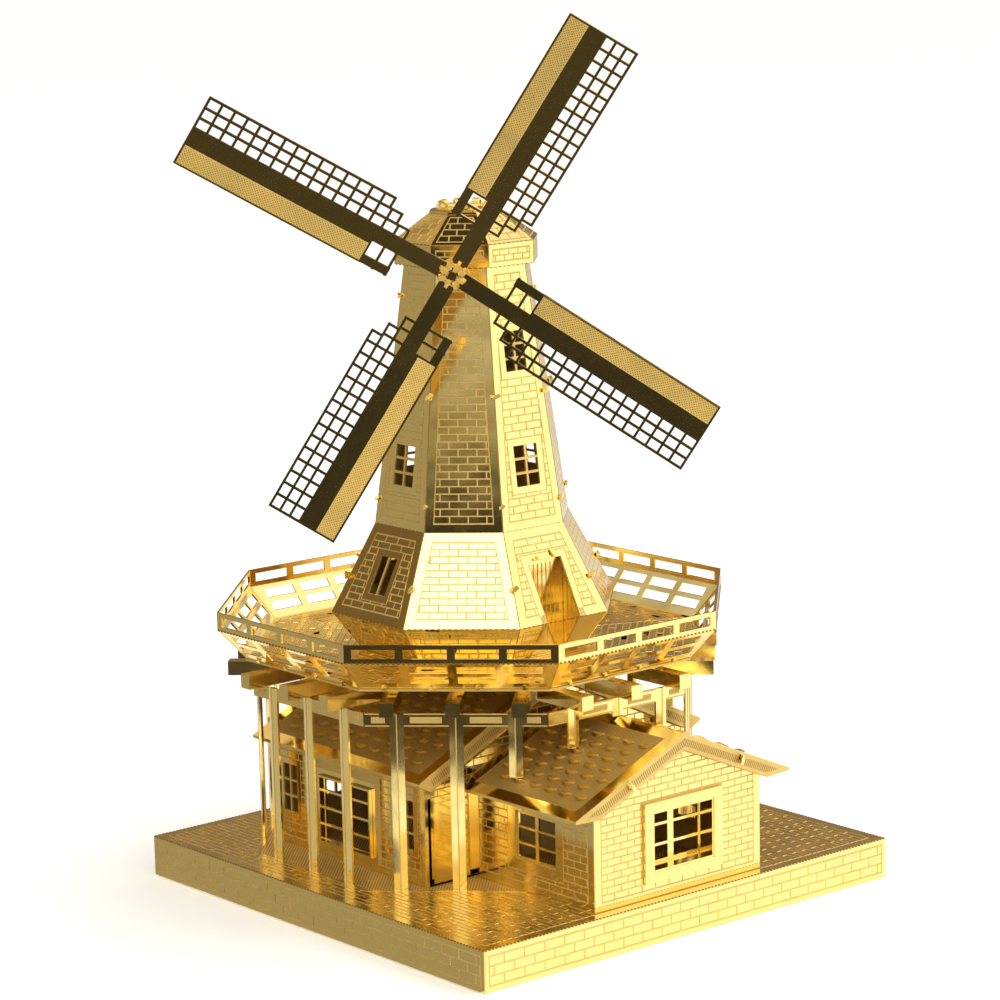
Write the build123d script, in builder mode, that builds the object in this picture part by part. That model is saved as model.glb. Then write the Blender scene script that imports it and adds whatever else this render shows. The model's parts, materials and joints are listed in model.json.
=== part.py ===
from build123d import *
import math
import os

os.makedirs("parts", exist_ok=True)

# Sheet-metal windmill on a square base. Millimetres, Z up. The origin is the middle of the whole outline,
# seen from above, at the level of the base underside.
# The base sides lie along X and Y. The eight-sided tower has flat sides facing each axis and each diagonal.

# sheet and fits
sheet = 0.3
seam = 0.06
rest_gap = 0.02

# base
base_side = 75.0
base_height = 5.75
base_x = 4.5
base_y = -2.21

# tower axis on the base
tower_x = base_x - 1.1
tower_y = base_y + 6.9
corner_turn = 22.5
apothem_share = math.cos(math.radians(corner_turn))
side_angles = {"s": 225, "se": 270, "e": 315, "ne": 0, "n": 45, "nw": 90, "w": 135, "sw": 180}

# gallery deck and railing
deck_top = 34.5
deck_radius = 34.0
rail_foot_radius = 34.0
rail_radius = 37.9
rail_fold_z = 38.9
rail_top_z = 41.46
band_opening_width = 5.9
band_opening_height = 1.3
band_opening_pitch = 7.0
slant_opening_width = 5.2
slant_opening_height = 1.15
slant_opening_pitch = 6.45
slant_rows_z = (36.05, 37.75)

# joists under the deck
joist_inner = 24.8
joist_outer = 34.5
joist_bottom = 31.3
joist_top = 33.3
joist_width = 2.0
joist_offset = 9.0
riser_radius = 27.0
riser_half_length = 10.0

# ring of pillars
ring_radius = 33.0
ring_top = 30.9
ring_bottom = 29.0
pillar_offset = 8.1
pillar_half_width = 0.95
pillar_fold = 0.28

# tower, as (corner radius, height) from the deck up
tower_foot = (17.0, deck_top + rest_gap)
tower_flare = (21.2, 40.1)
tower_fold = (14.4, 52.45)
tower_head = (9.15, 88.95)
door_half_width = 3.05
door_top = 48.2
door_plane = 14.95

# cap
cap_radius = 10.5
cap_band_bottom = 88.97
cap_band_top = 92.1
cap_top_radius = 5.2
cap_top_z = 95.8

# windshaft and sails: the shaft dips towards the sails
shaft_dip = 7.0
hub_distance = 19.5
hub_z = 89.4
shaft_radius = 0.6
shaft_clearance = 0.06
blade_count = 4
first_blade_angle = 58.0
blade_lean = 8.5
blade_root = 1.6
blade_length = 40.2
cell_along = 1.89
cell_across = 1.54
cell_bar = 0.36
lattice_side = 5.76
spar_lattice_edge = lattice_side - 3 * cell_across
spar_panel_edge = 1.46
panel_side = 4.54
row_cells = (15, 16, 17)
panel_inner = 11.8
open_cell_inner = 7.9
edge_strip = 1.25

# main house under the deck
house_half_x = 24.1
house_half_y = 17.4
house_eave_half = 26.3
house_ridge_z = 33.7
house_slope = 0.474
house_rake = 1.7

# front wing
wing_half_x = 15.4
wing_front_y = base_y - 35.6
wing_back_y = tower_y - house_half_y
wing_eave_half = 19.8
wing_ridge_z = 28.3
wing_slope = 0.433
wing_rake = 1.5
rake_depth = 2.4
eave_wall_gap = 0.1
fold_drop = sheet * 1.12
fold_inset = 0.7


def section_plane(angle):
    """Vertical plane through the tower axis: local X points outward, local Y points up."""
    a = math.radians(angle)
    return Plane(
        origin=(tower_x, tower_y, 0),
        x_dir=(math.cos(a), math.sin(a), 0),
        z_dir=(math.sin(a), -math.cos(a), 0),
    )


def side_plane(angle, distance):
    """Vertical plane facing outward: local X runs along the side, local Y points up."""
    a = math.radians(angle)
    return Plane(
        origin=(tower_x + distance * math.cos(a), tower_y + distance * math.sin(a), 0),
        x_dir=(-math.sin(a), math.cos(a), 0),
        z_dir=(math.cos(a), math.sin(a), 0),
    )


def wedge_points(angle):
    """One eighth of the plan, drawn in slightly so that neighbouring pieces leave a seam."""
    reach = 60.0
    start = seam / 2 / math.sin(math.radians(corner_turn))
    a = math.radians(angle)
    tip = (tower_x + start * math.cos(a), tower_y + start * math.sin(a))
    points = [tip]
    for turn in (-corner_turn, corner_turn):
        b = math.radians(angle + turn)
        points.append((tip[0] + reach * math.cos(b), tip[1] + reach * math.sin(b)))
    return points


def strip_profile(outer):
    """Closed outline of a folded sheet: the outer fold line and the same line one sheet inside."""
    inner = [(r - sheet, z) for r, z in reversed(outer)]
    return outer + inner


def save(piece, name):
    piece.label = name
    export_step(piece, "parts/" + name + ".step")


# Base: one tray, top plate with four folded skirts.
with BuildPart() as base_tray:
    with BuildSketch(Plane.XY):
        with Locations((base_x, base_y)):
            Rectangle(base_side, base_side)
    extrude(amount=base_height)
    with BuildSketch(Plane.XY):
        with Locations((base_x, base_y)):
            Rectangle(base_side - 2 * sheet, base_side - 2 * sheet)
    extrude(amount=base_height - sheet, mode=Mode.SUBTRACT)
save(base_tray.part, "base_tray")

# Tower: eight facet strips, each with an upper panel, an outward flare and an inward foot.
tower_line = [
    (tower_foot[0] * apothem_share, tower_foot[1]),
    (tower_flare[0] * apothem_share, tower_flare[1]),
    (tower_fold[0] * apothem_share, tower_fold[1]),
    (tower_head[0] * apothem_share, tower_head[1]),
]
# windows as (bottom, top, width, columns, rows)
low_window = (58.3, 64.0, 4.2, 2, 3)
top_window = (74.3, 79.8, 3.7, 2, 3)
flare_window = (43.5, 48.5, 3.6, 2, 1)
window_bar = 0.35
facet_windows = {
    "s": [],
    "se": [low_window, top_window],
    "e": [],
    "ne": [low_window, flare_window],
    "n": [],
    "nw": [low_window, top_window, flare_window],
    "w": [],
    "sw": [low_window, flare_window],
}
for name, angle in side_angles.items():
    with BuildPart() as facet:
        with BuildSketch(section_plane(angle)):
            with BuildLine():
                Polyline(*strip_profile(tower_line), close=True)
            make_face()
        extrude(amount=20, both=True)
        with BuildSketch(Plane.XY.offset(deck_top - 1)):
            with BuildLine():
                Polyline(*wedge_points(angle), close=True)
            make_face()
        extrude(amount=60, mode=Mode.INTERSECT)
        for bottom, top, width, columns, rows in facet_windows[name]:
            pane_width = (width - (columns - 1) * window_bar) / columns
            pane_height = (top - bottom - (rows - 1) * window_bar) / rows
            with BuildSketch(side_plane(angle, 3)):
                with Locations((0, (top + bottom) / 2)):
                    with GridLocations(pane_width + window_bar, pane_height + window_bar, columns, rows):
                        Rectangle(pane_width, pane_height)
            extrude(amount=25, mode=Mode.SUBTRACT)
        if name == "se":
            door_middle = (door_top + deck_top - 1) / 2
            with BuildSketch(side_plane(angle, 3)):
                with Locations((0, door_middle)):
                    Rectangle(2 * door_half_width, door_top - deck_top + 1)
            extrude(amount=25, mode=Mode.SUBTRACT)
    save(facet.part, "tower_facet_" + name)

# Tower door: an upright grooved leaf with a folded cheek on each side, standing on the deck.
door_leaf_half = door_half_width + sheet + 0.05
cheek_line = [
    (door_plane, deck_top + rest_gap),
    (tower_line[0][0] - sheet - 0.1, deck_top + rest_gap),
    (tower_line[1][0] - sheet - 0.15, tower_flare[1]),
    (door_plane + 0.08, door_top),
    (door_plane, door_top),
]
groove_pitch = 0.78
groove_count = 7
groove_width = 0.18
groove_depth = 0.12
groove_margin = 1.2
with BuildPart() as tower_door:
    for side in (-1, 1):
        cheek_origin = side * (door_leaf_half - sheet / 2)
        cheek_plane = Plane(origin=(tower_x + cheek_origin, tower_y, 0), x_dir=(0, -1, 0), z_dir=(-1, 0, 0))
        with BuildSketch(cheek_plane):
            with BuildLine():
                Polyline(*cheek_line, close=True)
            make_face()
        extrude(amount=sheet / 2, both=True)
    leaf_middle = (door_top + deck_top + rest_gap) / 2
    with BuildSketch(side_plane(side_angles["se"], door_plane - sheet)):
        with Locations((0, leaf_middle)):
            Rectangle(2 * door_leaf_half, door_top - deck_top - rest_gap)
    extrude(amount=sheet)
    with BuildSketch(side_plane(side_angles["se"], door_plane - groove_depth)):
        with Locations((0, leaf_middle)):
            with GridLocations(groove_pitch, 1, groove_count, 1):
                Rectangle(groove_width, door_top - deck_top - groove_margin)
    extrude(amount=1, mode=Mode.SUBTRACT)
save(tower_door.part, "tower_door")

# Cap: an eight-sided band with a soffit ring, a sloping roof and a top plate with a scroll crest.
shaft_axis = Vector(
    math.cos(math.radians(225)) * math.cos(math.radians(shaft_dip)),
    math.sin(math.radians(225)) * math.cos(math.radians(shaft_dip)),
    -math.sin(math.radians(shaft_dip)),
)
hub_point = Vector(
    tower_x + hub_distance * math.cos(math.radians(225)),
    tower_y + hub_distance * math.sin(math.radians(225)),
    hub_z,
)
side_dir = Vector(math.cos(math.radians(315)), math.sin(math.radians(315)), 0)


def shaft_plane(along):
    """Plane across the windshaft: local X level and to the right seen from the front, normal outward."""
    return Plane(origin=hub_point + shaft_axis * along, x_dir=side_dir, z_dir=shaft_axis)


soffit_radius = 8.4
with BuildPart() as cap_band:
    with BuildSketch(Plane.XY.offset(cap_band_bottom)):
        with Locations((tower_x, tower_y)):
            RegularPolygon(cap_radius, 8, rotation=corner_turn)
    extrude(amount=cap_band_top - cap_band_bottom)
    with BuildSketch(Plane.XY.offset(cap_band_bottom + sheet)):
        with Locations((tower_x, tower_y)):
            RegularPolygon(cap_radius - sheet / apothem_share, 8, rotation=corner_turn)
    extrude(amount=cap_band_top, mode=Mode.SUBTRACT)
    with BuildSketch(Plane.XY.offset(cap_band_bottom)):
        with Locations((tower_x, tower_y)):
            RegularPolygon(soffit_radius, 8, rotation=corner_turn)
    extrude(amount=sheet, mode=Mode.SUBTRACT)
    with BuildSketch(shaft_plane(0)):
        Circle(shaft_radius + shaft_clearance)
    extrude(amount=-14, mode=Mode.SUBTRACT)
save(cap_band.part, "cap_band")

cap_roof_bottom = cap_band_top + rest_gap
with BuildPart() as cap_roof:
    with BuildSketch(Plane.XY.offset(cap_roof_bottom)):
        with Locations((tower_x, tower_y)):
            RegularPolygon(cap_radius, 8, rotation=corner_turn)
    with BuildSketch(Plane.XY.offset(cap_top_z)):
        with Locations((tower_x, tower_y)):
            RegularPolygon(cap_top_radius, 8, rotation=corner_turn)
    loft()
    with BuildSketch(Plane.XY.offset(cap_roof_bottom)):
        with Locations((tower_x, tower_y)):
            RegularPolygon(cap_radius - 0.5, 8, rotation=corner_turn)
    with BuildSketch(Plane.XY.offset(cap_top_z)):
        with Locations((tower_x, tower_y)):
            RegularPolygon(cap_top_radius - 0.5, 8, rotation=corner_turn)
    loft(mode=Mode.SUBTRACT)
save(cap_roof.part, "cap_roof")

with BuildPart() as cap_top:
    with BuildSketch(Plane.XY.offset(cap_top_z + rest_gap)):
        with Locations((tower_x, tower_y)):
            RegularPolygon(cap_top_radius + 0.1, 8, rotation=corner_turn)
    extrude(amount=sheet)
save(cap_top.part, "cap_top")

crest_base = cap_top_z + rest_gap + sheet + rest_gap
with BuildPart() as cap_crest:
    with BuildSketch(Plane.XY.offset(crest_base)):
        with Locations((tower_x, tower_y)):
            RegularPolygon(cap_top_radius - 0.9, 8, rotation=corner_turn)
            RegularPolygon(cap_top_radius - 2.4, 8, rotation=corner_turn, mode=Mode.SUBTRACT)
    extrude(amount=0.2)
    for turn in range(8):
        with BuildSketch(section_plane(corner_turn + 45 * turn)):
            with Locations((3.5, crest_base + 0.62)):
                Circle(0.62)
                Circle(0.34, mode=Mode.SUBTRACT)
        extrude(amount=0.55, both=True)
save(cap_crest.part, "cap_crest")

# Deck: one eight-sided plate.
with BuildPart() as deck_plate:
    with BuildSketch(Plane.XY.offset(deck_top - sheet)):
        with Locations((tower_x, tower_y)):
            RegularPolygon(deck_radius, 8, rotation=corner_turn)
    extrude(amount=sheet)
save(deck_plate.part, "deck_plate")

# Railing: eight sides, each a slanted openwork panel folded up into an upright openwork band.
rail_line = [
    (rail_foot_radius * apothem_share - 0.1, deck_top + rest_gap),
    (rail_radius * apothem_share, rail_fold_z),
    (rail_radius * apothem_share, rail_top_z),
]
band_middle = (rail_fold_z + rail_top_z) / 2
for name, angle in side_angles.items():
    with BuildPart() as railing:
        with BuildSketch(section_plane(angle)):
            with BuildLine():
                Polyline(*strip_profile(rail_line), close=True)
            make_face()
        extrude(amount=25, both=True)
        with BuildSketch(Plane.XY.offset(deck_top - 1)):
            with BuildLine():
                Polyline(*wedge_points(angle), close=True)
            make_face()
        extrude(amount=10, mode=Mode.INTERSECT)
        with BuildSketch(side_plane(angle, 25)):
            with Locations((0, band_middle)):
                with GridLocations(band_opening_pitch, 1, 4, 1):
                    Rectangle(band_opening_width, band_opening_height)
            for row_z in slant_rows_z:
                with Locations((0, row_z)):
                    with GridLocations(slant_opening_pitch, 1, 4, 1):
                        Rectangle(slant_opening_width, slant_opening_height)
        extrude(amount=20, mode=Mode.SUBTRACT)
    save(railing.part, "railing_" + name)

# Joists: on each side three channels, open below, hung from the deck on one riser strip.
riser_top = deck_top - sheet - rest_gap
joist_middle = (joist_bottom + joist_top) / 2
for name, angle in side_angles.items():
    with BuildPart() as joists:
        with BuildSketch(side_plane(angle, joist_inner)):
            with GridLocations(joist_offset, 1, 3, 1):
                with Locations((0, joist_middle)):
                    Rectangle(joist_width, joist_top - joist_bottom)
        extrude(amount=joist_outer - joist_inner)
        with BuildSketch(side_plane(angle, joist_inner)):
            with GridLocations(joist_offset, 1, 3, 1):
                with Locations((0, joist_middle - sheet)):
                    Rectangle(joist_width - 2 * sheet, joist_top - joist_bottom)
        extrude(amount=joist_outer - joist_inner - sheet, mode=Mode.SUBTRACT)
        with BuildSketch(side_plane(angle, riser_radius)):
            with Locations((0, (joist_top - sheet / 2 + riser_top) / 2)):
                Rectangle(2 * riser_half_length, riser_top - joist_top + sheet / 2)
        extrude(amount=sheet)
    save(joists.part, "joists_" + name)


def foot_height(x, y):
    """Height of what stands under a pillar: the wing roof or the base plate."""
    across = abs(x - tower_x)
    on_wing = across < wing_eave_half + 1.0 and y < wing_back_y
    if on_wing:
        return wing_ridge_z - wing_slope * max(across - pillar_half_width, 0) + 0.05
    return base_height + rest_gap


# Ring: on each side a band with three folded pillars standing on the base or on the wing roof.
ring_distance = ring_radius * apothem_share
for name, angle in side_angles.items():
    a = math.radians(angle)
    with BuildPart() as ring_side:
        with BuildSketch(section_plane(angle)):
            with Locations((ring_distance - sheet / 2, (ring_top + ring_bottom) / 2)):
                Rectangle(sheet, ring_top - ring_bottom)
        extrude(amount=20, both=True)
        with BuildSketch(Plane.XY.offset(ring_bottom - 1)):
            with BuildLine():
                Polyline(*wedge_points(angle), close=True)
            make_face()
        extrude(amount=5, mode=Mode.INTERSECT)
        for offset in (-pillar_offset, 0, pillar_offset):
            foot_x = tower_x + ring_distance * math.cos(a) - offset * math.sin(a)
            foot_y = tower_y + ring_distance * math.sin(a) + offset * math.cos(a)
            foot_z = foot_height(foot_x, foot_y)
            pillar_plane = Plane(
                origin=(foot_x, foot_y, foot_z),
                x_dir=(-math.sin(a), math.cos(a), 0),
                z_dir=(0, 0, 1),
            )
            half = pillar_half_width
            with BuildSketch(pillar_plane):
                with BuildLine():
                    Polyline(
                        (-half, sheet),
                        (0, sheet - pillar_fold),
                        (half, sheet),
                        (half, 0),
                        (0, -pillar_fold),
                        (-half, 0),
                        close=True,
                    )
                make_face()
            extrude(amount=ring_top - foot_z)
    save(ring_side.part, "ring_" + name)


def gable_points(half, top_z, slope, foot_z):
    """Outline of a gable end: two sides and the peak."""
    side_z = top_z - slope * half
    return [(-half, foot_z), (half, foot_z), (half, side_z), (0, top_z), (-half, side_z)]


wall_foot = base_height + rest_gap
house_wall_peak = house_ridge_z - sheet * 1.6
wing_wall_peak = wing_ridge_z - sheet * 1.6
house_back_y = tower_y + house_half_y
house_front_y = tower_y - house_half_y
house_side_top = house_wall_peak - house_slope * house_half_x
wing_side_top = wing_wall_peak - wing_slope * wing_half_x


def upright(y):
    """Upright plane facing the front: local X along +X from the tower axis, local Y up, normal -Y."""
    return Plane(origin=(tower_x, y, 0), x_dir=(1, 0, 0), z_dir=(0, -1, 0))


def sideways(x):
    """Upright plane facing +X: local X along +Y from the tower axis, local Y up."""
    return Plane(origin=(x, tower_y, 0), x_dir=(0, 1, 0), z_dir=(1, 0, 0))


# house windows along the long wall: (centre, bottom, top, width)
bay = (0.1, 7.6, 17.6, 11.8)
house_window_left = (13.3, 10.6, 17.6, 3.2)
house_window_right = (-13.3, 10.6, 17.6, 3.2)
mullion_width = 0.3
mullion_overlap = 0.4
cut_depth = 1.0

# house door, at the left corner of the front gable
house_door_x = -house_half_x + 4.6
house_door_top = 17.8
house_door_width = 6.4
door_sill = 0.6
door_margin = 0.05
door_frame_lap = 0.4
pane_x = -house_half_x + 5.6
pane_bottom_z = 12.6
pane_pitch = 1.95
pane_width = 1.5
pane_height = 1.6
handle_x = -house_half_x + 2.3
handle_z = 11.6

# windows of the back gable
back_window_x = 13.0
back_window_z = 14.0

# bay windows
bay_gap = 0.03
bay_lap = 0.8
bay_bar = 0.36
bay_mullion = 0.9
bay_frame_width = 0.3
bay_stand = 0.9

# Main house: two folded wall pieces, each a long wall with one gable end.
for name, direction in (("sw", -1), ("ne", 1)):
    with BuildPart() as house_walls:
        gable_y = house_front_y if direction < 0 else house_back_y - sheet
        with BuildSketch(upright(gable_y + sheet)):
            gable_half = house_half_x - sheet - rest_gap
            with BuildLine():
                Polyline(*gable_points(gable_half, house_wall_peak, house_slope, wall_foot), close=True)
            make_face()
        extrude(amount=sheet)
        wall_x = tower_x + direction * house_half_x
        with BuildSketch(sideways(wall_x)):
            with Locations((0, (wall_foot + house_side_top) / 2)):
                Rectangle(2 * house_half_y, house_side_top - wall_foot)
        extrude(amount=-direction * sheet)
        with BuildSketch(sideways(wall_x)):
            for centre, bottom, top, width in (bay, house_window_left, house_window_right):
                with Locations((centre, (bottom + top) / 2)):
                    Rectangle(width, top - bottom)
        extrude(amount=-direction * cut_depth, mode=Mode.SUBTRACT)
        for centre, bottom, top, width in (house_window_left, house_window_right):
            with BuildSketch(sideways(wall_x)):
                with Locations((centre, (bottom + top) / 2)):
                    Rectangle(mullion_width, top - bottom + mullion_overlap)
                for share in (1 / 3, 2 / 3):
                    with Locations((centre, bottom + share * (top - bottom))):
                        Rectangle(width + mullion_overlap, mullion_width)
            extrude(amount=-direction * sheet)
        corner_y = gable_y + sheet / 2
        with BuildSketch(Plane.XY.offset(wall_foot)):
            with Locations((wall_x - direction * sheet, corner_y)):
                Rectangle(2 * sheet, sheet)
        extrude(amount=house_side_top - wall_foot)
        if direction < 0:
            with BuildSketch(upright(gable_y + 1)):
                with Locations((house_door_x, (wall_foot + house_door_top) / 2)):
                    Rectangle(house_door_width, house_door_top - wall_foot - door_sill)
            extrude(amount=2, mode=Mode.SUBTRACT)
        else:
            with BuildSketch(upright(gable_y + 1)):
                for centre in (-back_window_x, 0, back_window_x):
                    with Locations((centre, back_window_z)):
                        with GridLocations(2.05, 2.4, 2, 3):
                            Rectangle(1.7, 2.1)
            extrude(amount=2, mode=Mode.SUBTRACT)
    save(house_walls.part, "house_walls_" + name)

# House door in the front gable, at the left corner.
with BuildPart() as house_door:
    with BuildSketch(upright(house_front_y + sheet + rest_gap + sheet)):
        with Locations((house_door_x, (wall_foot + house_door_top + door_frame_lap) / 2)):
            Rectangle(house_door_width + door_sill, house_door_top + door_frame_lap - wall_foot)
        for row in range(3):
            with Locations((pane_x, pane_bottom_z + pane_pitch * row)):
                Rectangle(pane_width, pane_height, mode=Mode.SUBTRACT)
    extrude(amount=sheet)
    with BuildSketch(upright(house_front_y + sheet + rest_gap)):
        leaf_height = house_door_top - 2 * door_margin - wall_foot - door_sill
        with Locations((house_door_x, (wall_foot + house_door_top) / 2)):
            Rectangle(house_door_width - 2 * door_margin, leaf_height)
        for row in range(3):
            with Locations((pane_x, pane_bottom_z + pane_pitch * row)):
                Rectangle(pane_width, pane_height, mode=Mode.SUBTRACT)
    extrude(amount=sheet + rest_gap)
    with BuildSketch(upright(house_front_y)):
        with Locations((handle_x, handle_z)):
            Rectangle(0.4, 1.1)
    extrude(amount=0.5)
save(house_door.part, "house_door")

# Bay windows of the house: a plate behind the wall with mullions, and a box frame standing through
# the opening.
for name, direction in (("sw", -1), ("ne", 1)):
    centre, bottom, top, width = bay
    middle = (bottom + top) / 2
    height = top - bottom
    wall_x = tower_x + direction * house_half_x
    with BuildPart() as bay_frame:
        with BuildSketch(sideways(wall_x - direction * (sheet + bay_gap))):
            with Locations((centre, middle)):
                Rectangle(width + 2 * bay_lap, height + 2 * bay_lap)
        extrude(amount=-direction * sheet)
        with BuildSketch(sideways(wall_x - direction * (sheet + bay_gap))):
            with Locations((centre, middle)):
                with GridLocations(width / 2, 1, 2, 1):
                    Rectangle(width / 2 - bay_mullion, height - bay_mullion)
        extrude(amount=-direction * cut_depth, mode=Mode.SUBTRACT)
        with BuildSketch(sideways(wall_x - direction * (sheet + bay_gap))):
            with Locations((centre, middle)):
                with GridLocations(1, height / 4, 1, 3):
                    Rectangle(width - 2 * bay_frame_width, bay_bar)
        extrude(amount=-direction * sheet)
        with BuildSketch(sideways(wall_x - direction * (sheet + bay_gap))):
            with Locations((centre, middle)):
                Rectangle(width - 2 * bay_gap, height - 2 * bay_gap)
                inner_width = width - 2 * bay_gap - 2 * bay_frame_width
                inner_height = height - 2 * bay_gap - 2 * bay_frame_width
                Rectangle(inner_width, inner_height, mode=Mode.SUBTRACT)
        extrude(amount=direction * bay_stand)
    save(bay_frame.part, "house_bay_" + name)


def roof_profile(half, top_z, slope):
    """Folded roof sheet seen end on."""
    eave_z = top_z - slope * half
    return [
        (-half, eave_z),
        (0, top_z),
        (half, eave_z),
        (half, eave_z - fold_drop),
        (0, top_z - fold_drop),
        (-half, eave_z - fold_drop),
    ]


def rake_profile(half, wall_half, top_z, slope):
    """The board under the edge of a gable: full depth as far as the wall, then a point at each eave."""
    eave_z = top_z - slope * half
    low_x = wall_half + eave_wall_gap
    low_z = top_z - rake_depth - slope * low_x
    ridge_low_z = top_z - rake_depth
    return [(-half, eave_z), (0, top_z), (half, eave_z), (low_x, low_z), (0, ridge_low_z), (-low_x, low_z)]


def eave_strip(side, half, wall_half, top_z, slope):
    """The strip folded back under an eave as far as the wall, seen end on."""
    eave_z = top_z - slope * half
    low_x = wall_half + eave_wall_gap
    low_z = top_z - rake_depth - slope * low_x
    return [
        (side * half, eave_z),
        (side * half, eave_z - fold_drop),
        (side * low_x, low_z),
        (side * low_x, low_z + fold_drop),
        (side * (half - fold_inset), eave_z + slope * fold_inset - fold_drop / 2),
    ]


# Main roof: one sheet folded over the ridge, with boards under both gable edges and both eaves.
house_roof_front = house_front_y - house_rake
house_roof_back = house_back_y + house_rake
with BuildPart() as house_roof:
    with BuildSketch(upright(house_roof_back)):
        with BuildLine():
            Polyline(*roof_profile(house_eave_half, house_ridge_z, house_slope), close=True)
        make_face()
    extrude(amount=house_roof_back - house_roof_front)
    for board_y in (house_roof_back, house_roof_front + sheet):
        with BuildSketch(upright(board_y)):
            with BuildLine():
                Polyline(*rake_profile(house_eave_half, house_half_x, house_ridge_z, house_slope), close=True)
            make_face()
        extrude(amount=sheet)
    for side in (-1, 1):
        with BuildSketch(upright(house_roof_back)):
            strip = eave_strip(side, house_eave_half, house_half_x, house_ridge_z, house_slope)
            with BuildLine():
                Polyline(*strip, close=True)
            make_face()
        extrude(amount=house_roof_back - house_roof_front)
save(house_roof.part, "house_roof")

# Wing walls: side wall, front gable and side wall in one folded sheet.
wing_side_window = (base_y - 23.6, 10.2, 17.1, 8.4)
wing_front_window = (0.6, 9.4, 18.0, 11.4)
with BuildPart() as wing_walls:
    with BuildSketch(upright(wing_front_y + sheet)):
        with BuildLine():
            Polyline(*gable_points(wing_half_x, wing_wall_peak, wing_slope, wall_foot), close=True)
        make_face()
    extrude(amount=sheet)
    wing_length = wing_back_y - rest_gap - wing_front_y
    for side in (-1, 1):
        with BuildSketch(Plane.XY.offset(wall_foot)):
            with Locations((tower_x + side * (wing_half_x - sheet / 2), wing_front_y + wing_length / 2)):
                Rectangle(sheet, wing_length)
        extrude(amount=wing_side_top - wall_foot)
    centre, bottom, top, width = wing_front_window
    with BuildSketch(upright(wing_front_y + 1)):
        with Locations((centre, (bottom + top) / 2)):
            Rectangle(width, top - bottom)
    extrude(amount=2, mode=Mode.SUBTRACT)
    centre, bottom, top, width = wing_side_window
    with BuildSketch(Plane(origin=(tower_x, 0, 0), x_dir=(0, 1, 0), z_dir=(1, 0, 0))):
        with Locations((centre, (bottom + top) / 2)):
            Rectangle(width, top - bottom)
    extrude(amount=20, both=True, mode=Mode.SUBTRACT)
save(wing_walls.part, "wing_walls")

# Wing front window: an outer frame box through the wall and an arched two-light plate behind.
centre, bottom, top, width = wing_front_window
middle = (bottom + top) / 2
height = top - bottom
frame_width = width + 3.0
frame_height = height + 2.6
with BuildPart() as wing_front_frame:
    with BuildSketch(upright(wing_front_y - rest_gap)):
        with Locations((centre, middle)):
            Rectangle(frame_width, frame_height)
            Rectangle(width - 0.06, height - 0.06, mode=Mode.SUBTRACT)
    extrude(amount=0.55)
    with BuildSketch(upright(wing_front_y + 2.2)):
        with Locations((centre, middle)):
            Rectangle(width - 0.06, height - 0.06)
            Rectangle(width - 0.66, height - 0.66, mode=Mode.SUBTRACT)
    extrude(amount=2.6)
save(wing_front_frame.part, "wing_front_frame")

with BuildPart() as wing_front_lights:
    with BuildSketch(upright(wing_front_y + 2.25 + sheet)):
        with Locations((centre, middle)):
            Rectangle(width + 0.6, height + 0.6)
            with GridLocations(width / 2, 1, 2, 1):
                Rectangle(width / 2 - 1.1, height - 1.4, mode=Mode.SUBTRACT)
        with Locations((centre, middle)):
            with GridLocations(1, height / 3, 1, 2):
                Rectangle(width, 0.4)
    extrude(amount=sheet)
save(wing_front_lights.part, "wing_front_lights")

# Wing side windows: frame flange outside each opening and a grid plate behind it.
centre, bottom, top, width = wing_side_window
middle = (bottom + top) / 2
height = top - bottom
for name, side in (("sw", -1), ("ne", 1)):
    wall_x = tower_x + side * (wing_half_x - sheet - 0.03)
    with BuildPart() as wing_side_frame:
        with BuildSketch(Plane(origin=(wall_x, 0, 0), x_dir=(0, 1, 0), z_dir=(1, 0, 0))):
            with Locations((centre, middle)):
                Rectangle(width + 1.4, height + 1.4)
                with GridLocations(width / 2, 1, 2, 1):
                    Rectangle(width / 2 - 0.7, height - 0.8, mode=Mode.SUBTRACT)
            with Locations((centre, middle)):
                with GridLocations(1, height / 3, 1, 2):
                    Rectangle(width, 0.35)
        extrude(amount=-side * sheet)
    save(wing_side_frame.part, "wing_window_" + name)

# Wing roof: one sheet folded over the ridge, running back to the house gable.
wing_roof_front = wing_front_y - wing_rake
wing_roof_back = house_front_y - house_rake - rest_gap
with BuildPart() as wing_roof:
    with BuildSketch(upright(wing_roof_back)):
        with BuildLine():
            Polyline(*roof_profile(wing_eave_half, wing_ridge_z, wing_slope), close=True)
        make_face()
    extrude(amount=wing_roof_back - wing_roof_front)
    with BuildSketch(upright(wing_roof_front + sheet)):
        with BuildLine():
            Polyline(*rake_profile(wing_eave_half, wing_half_x, wing_ridge_z, wing_slope), close=True)
        make_face()
    extrude(amount=sheet)
    for side in (-1, 1):
        with BuildSketch(upright(wing_roof_back)):
            with BuildLine():
                Polyline(*eave_strip(side, wing_eave_half, wing_half_x, wing_ridge_z, wing_slope), close=True)
            make_face()
        extrude(amount=wing_roof_back - wing_roof_front)
save(wing_roof.part, "wing_roof")

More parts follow.
